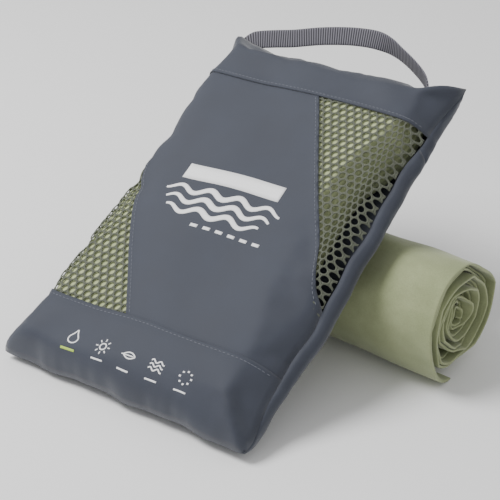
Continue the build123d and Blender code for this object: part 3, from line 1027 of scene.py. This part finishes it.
def rolled_strip(stack, outer_layer, inner_layer, recede):
    """One doubled layer of the rolled strip, folded round at both ends and thinned to a hem outside."""
    layer = 0.82 * PITCH / 12.0
    s = np.linspace(0.0, 1.0, 300) ** 0.8
    hem = 0.12 + 0.88 * smooth01((1 - s) / 0.05)
    middle = ((outer_layer + inner_layer + 1) / 2 + stack * 4) * layer * hem
    half = (inner_layer - outer_layer) / 2 * layer
    uneven = 2.0 * np.sin(s * 31 + 2 * stack) + 1.3 * np.sin(s * 53 + 2 * stack) + 0.5 * np.sin(s * 97)
    back_in = (recede + 7.0 * (1 - s) ** 2 - uneven) * smooth01((1 - s) / 0.06)
    tip = np.minimum(ROLL_RIGHT - back_in, ROLL_RIGHT + 1.0)
    start = np.maximum(ROLL_LEFT + 0.8 * back_in, ROLL_LEFT - 1.0)
    end = np.clip((1 - s) * TURNS * 2 * math.pi * 38 / (half + 0.4), 0, 1)
    half = half * np.sqrt(1 - (1 - end) ** 2)
    xs = np.concatenate([np.linspace(0.03, 0.72, 10), np.linspace(0.76, 0.96, 7), [0.975, 0.988]])
    fold = np.linspace(math.pi / 2, -math.pi / 2, 9)
    low, span = start + half, tip - start - 2 * half
    rows = [roll_point(s, middle - half, low + span * t) for t in xs]
    rows += [roll_point(s, middle - half * math.sin(a), tip - half + half * math.cos(a)) for a in fold]
    rows += [roll_point(s, middle + half, low + span * t) for t in xs[::-1]]
    rows += [roll_point(s, middle + half * math.sin(a), low - half * math.cos(a)) for a in fold]
    n, m = len(s), len(rows)
    return np.vstack(rows) * MM, grid_faces(m, n, closed=True), np.zeros((m * n, 2))


strips = []
for stack, recede in ((0, 0.0), (1, 3.4), (2, 6.6)):
    strips.append(rolled_strip(stack, 0, 3, recede))
    strips.append(rolled_strip(stack, 1, 2, recede + 1.5))
roll = dress(merge("rolled_towel_cloth", strips), SUEDE, "microfibre", "rolled_towel", "rolled_towel")


# ---- carry loop
LOOP = (  # u, v, w of the middle line and the direction of the webbing's width
    ((-81.0, 270.5, -1.0), (-0.55, 0.75, 0.35)),
    ((-76.5, 275.6, 0.0), (-0.45, 0.80, 0.40)),
    ((-69.0, 280.0, 0.0), (-0.38, 0.82, 0.43)),
    ((-57.0, 284.4, 0.0), (-0.30, 0.84, 0.45)),
    ((-44.0, 288.6, 0.0), (-0.27, 0.85, 0.46)),
    ((-26.0, 296.0, 0.0), (-0.25, 0.85, 0.46)),
    ((-10.0, 301.0, 0.0), (-0.16, 0.86, 0.47)),
    ((3.0, 303.8, 0.0), (-0.08, 0.86, 0.50)),
    ((16.0, 305.0, 0.0), (0.06, 0.78, 0.62)),
    ((28.0, 303.4, 0.0), (0.18, 0.46, 0.87)),
    ((40.0, 298.9, 0.0), (0.17, 0.22, 0.96)),
    ((54.0, 292.0, 0.0), (0.15, 0.20, 0.97)),
    ((65.0, 285.0, 0.0), (0.14, 0.20, 0.97)),
    ((71.5, 278.5, 0.0), (0.12, 0.14, 0.98)),
    ((75.0, 271.5, -1.0), (0.10, 0.10, 0.99)),
)


def carry_loop():
    knots = np.array([p for p, _ in LOOP], float)
    widths = np.array([w for _, w in LOOP], float)
    fine = np.linspace(0, len(LOOP) - 1, 1200)
    i = np.clip(np.floor(fine).astype(int), 0, len(LOOP) - 2)
    w = catmull(fine - i)

    def along(values):
        padded = np.vstack([2 * values[0] - values[1], values, 2 * values[-1] - values[-2]])
        return sum(w[:, k, None] * padded[i + k] for k in range(4))

    path, width = along(knots), along(widths)
    run = np.concatenate([[0], np.cumsum(np.linalg.norm(np.diff(path, axis=0), axis=1))])
    per_rib = 6
    s = np.arange(0, run[-1], RIB_PITCH / per_rib)
    path = np.stack([np.interp(s, run, path[:, k]) for k in range(3)], 1)
    width = np.stack([np.interp(s, run, width[:, k]) for k in range(3)], 1)
    tangent = np.gradient(path, axis=0)
    tangent /= np.linalg.norm(tangent, axis=1, keepdims=True)
    width -= tangent * (width * tangent).sum(1, keepdims=True)
    width /= np.linalg.norm(width, axis=1, keepdims=True)
    face = np.cross(tangent, width)
    # The ends are drawn together in the seam.
    gather = 0.35 + 0.65 * smooth01(np.minimum(s, s[-1] - s) / 14.0)
    width = width * gather[:, None]
    rib = 0.5 + 0.5 * np.sin(s / RIB_PITCH * 2 * math.pi)
    section = []
    for sign in (1, -1):
        for x in np.linspace(-sign, sign, 11):
            section.append((x * 6.2, sign * 0.55 * (1 - 0.25 * abs(x) ** 6), sign))
        section.append((sign * 6.35, 0.0, 0))
    rows, cuts = [], []
    for x, h, sign in section:
        lift = h + sign * 0.30 * (rib - 0.5)
        if sign:
            rows.append(path + width * x + face * lift[:, None])
        else:
            rows.append(path + width * (x + 0.12 * np.sign(x) * rib)[:, None])
        cuts.append(np.stack([s, np.full(len(s), x)], 1))
    n, m = len(s), len(section)
    faces = grid_faces(m, n, closed=True)
    faces += [tuple(c * n for c in range(m)), tuple(c * n + n - 1 for c in reversed(range(m)))]
    obj = new_object("carry_loop_webbing", leaned(np.vstack(rows)), faces)
    add_cut_uv(obj, np.vstack(cuts))
    drop_loose(obj)
    return obj


loop = carry_loop()
loop.data.materials.append(WEB)
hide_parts("carry_loop")
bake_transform(loop)


# ---- floor, light and view
def camera():
    data = bpy.data.cameras.new("camera")
    data.sensor_width = 36.0
    data.lens = 102.6
    obj = bpy.data.objects.new("camera", data)
    scene.collection.objects.link(obj)
    obj.location = (0.4791, -0.6595, 0.5332)
    back = Vector((0.521, -0.692, 0.5015))
    obj.rotation_euler = back.to_track_quat("Z", "Y").to_euler()
    scene.camera = obj


def lamp(name, at, toward, size, power):
    data = bpy.data.lights.new(name, "AREA")
    data.shape, data.size, data.energy = "DISK", size, power
    obj = bpy.data.objects.new(name, data)
    scene.collection.objects.link(obj)
    obj.location = at
    obj.rotation_euler = (Vector(at) - Vector(toward)).to_track_quat("Z", "Y").to_euler()


def floor():
    n = Nodes("pale_floor", 0.9, (0.9, 0.9, 0.9), specular=0.1)
    corners = [(x, y, -0.0005) for x, y in ((-4, -4), (4, -4), (4, 4), (-4, 4))]
    obj = new_object("floor", corners, [(0, 1, 2, 3)])
    obj.data.materials.append(n.mat)


camera()
floor()
lamp("key", (-0.75, -0.55, 1.4), (0, 0, 0.05), 0.8, 30)
lamp("fill", (1.3, -0.5, 0.9), (0, 0, 0.05), 1.0, 1.5)
world = bpy.data.worlds.new("studio")
scene.world = world
world.use_nodes = True
world.node_tree.nodes["Background"].inputs[0].default_value = (1, 1, 1, 1)
world.node_tree.nodes["Background"].inputs[1].default_value = 0.62
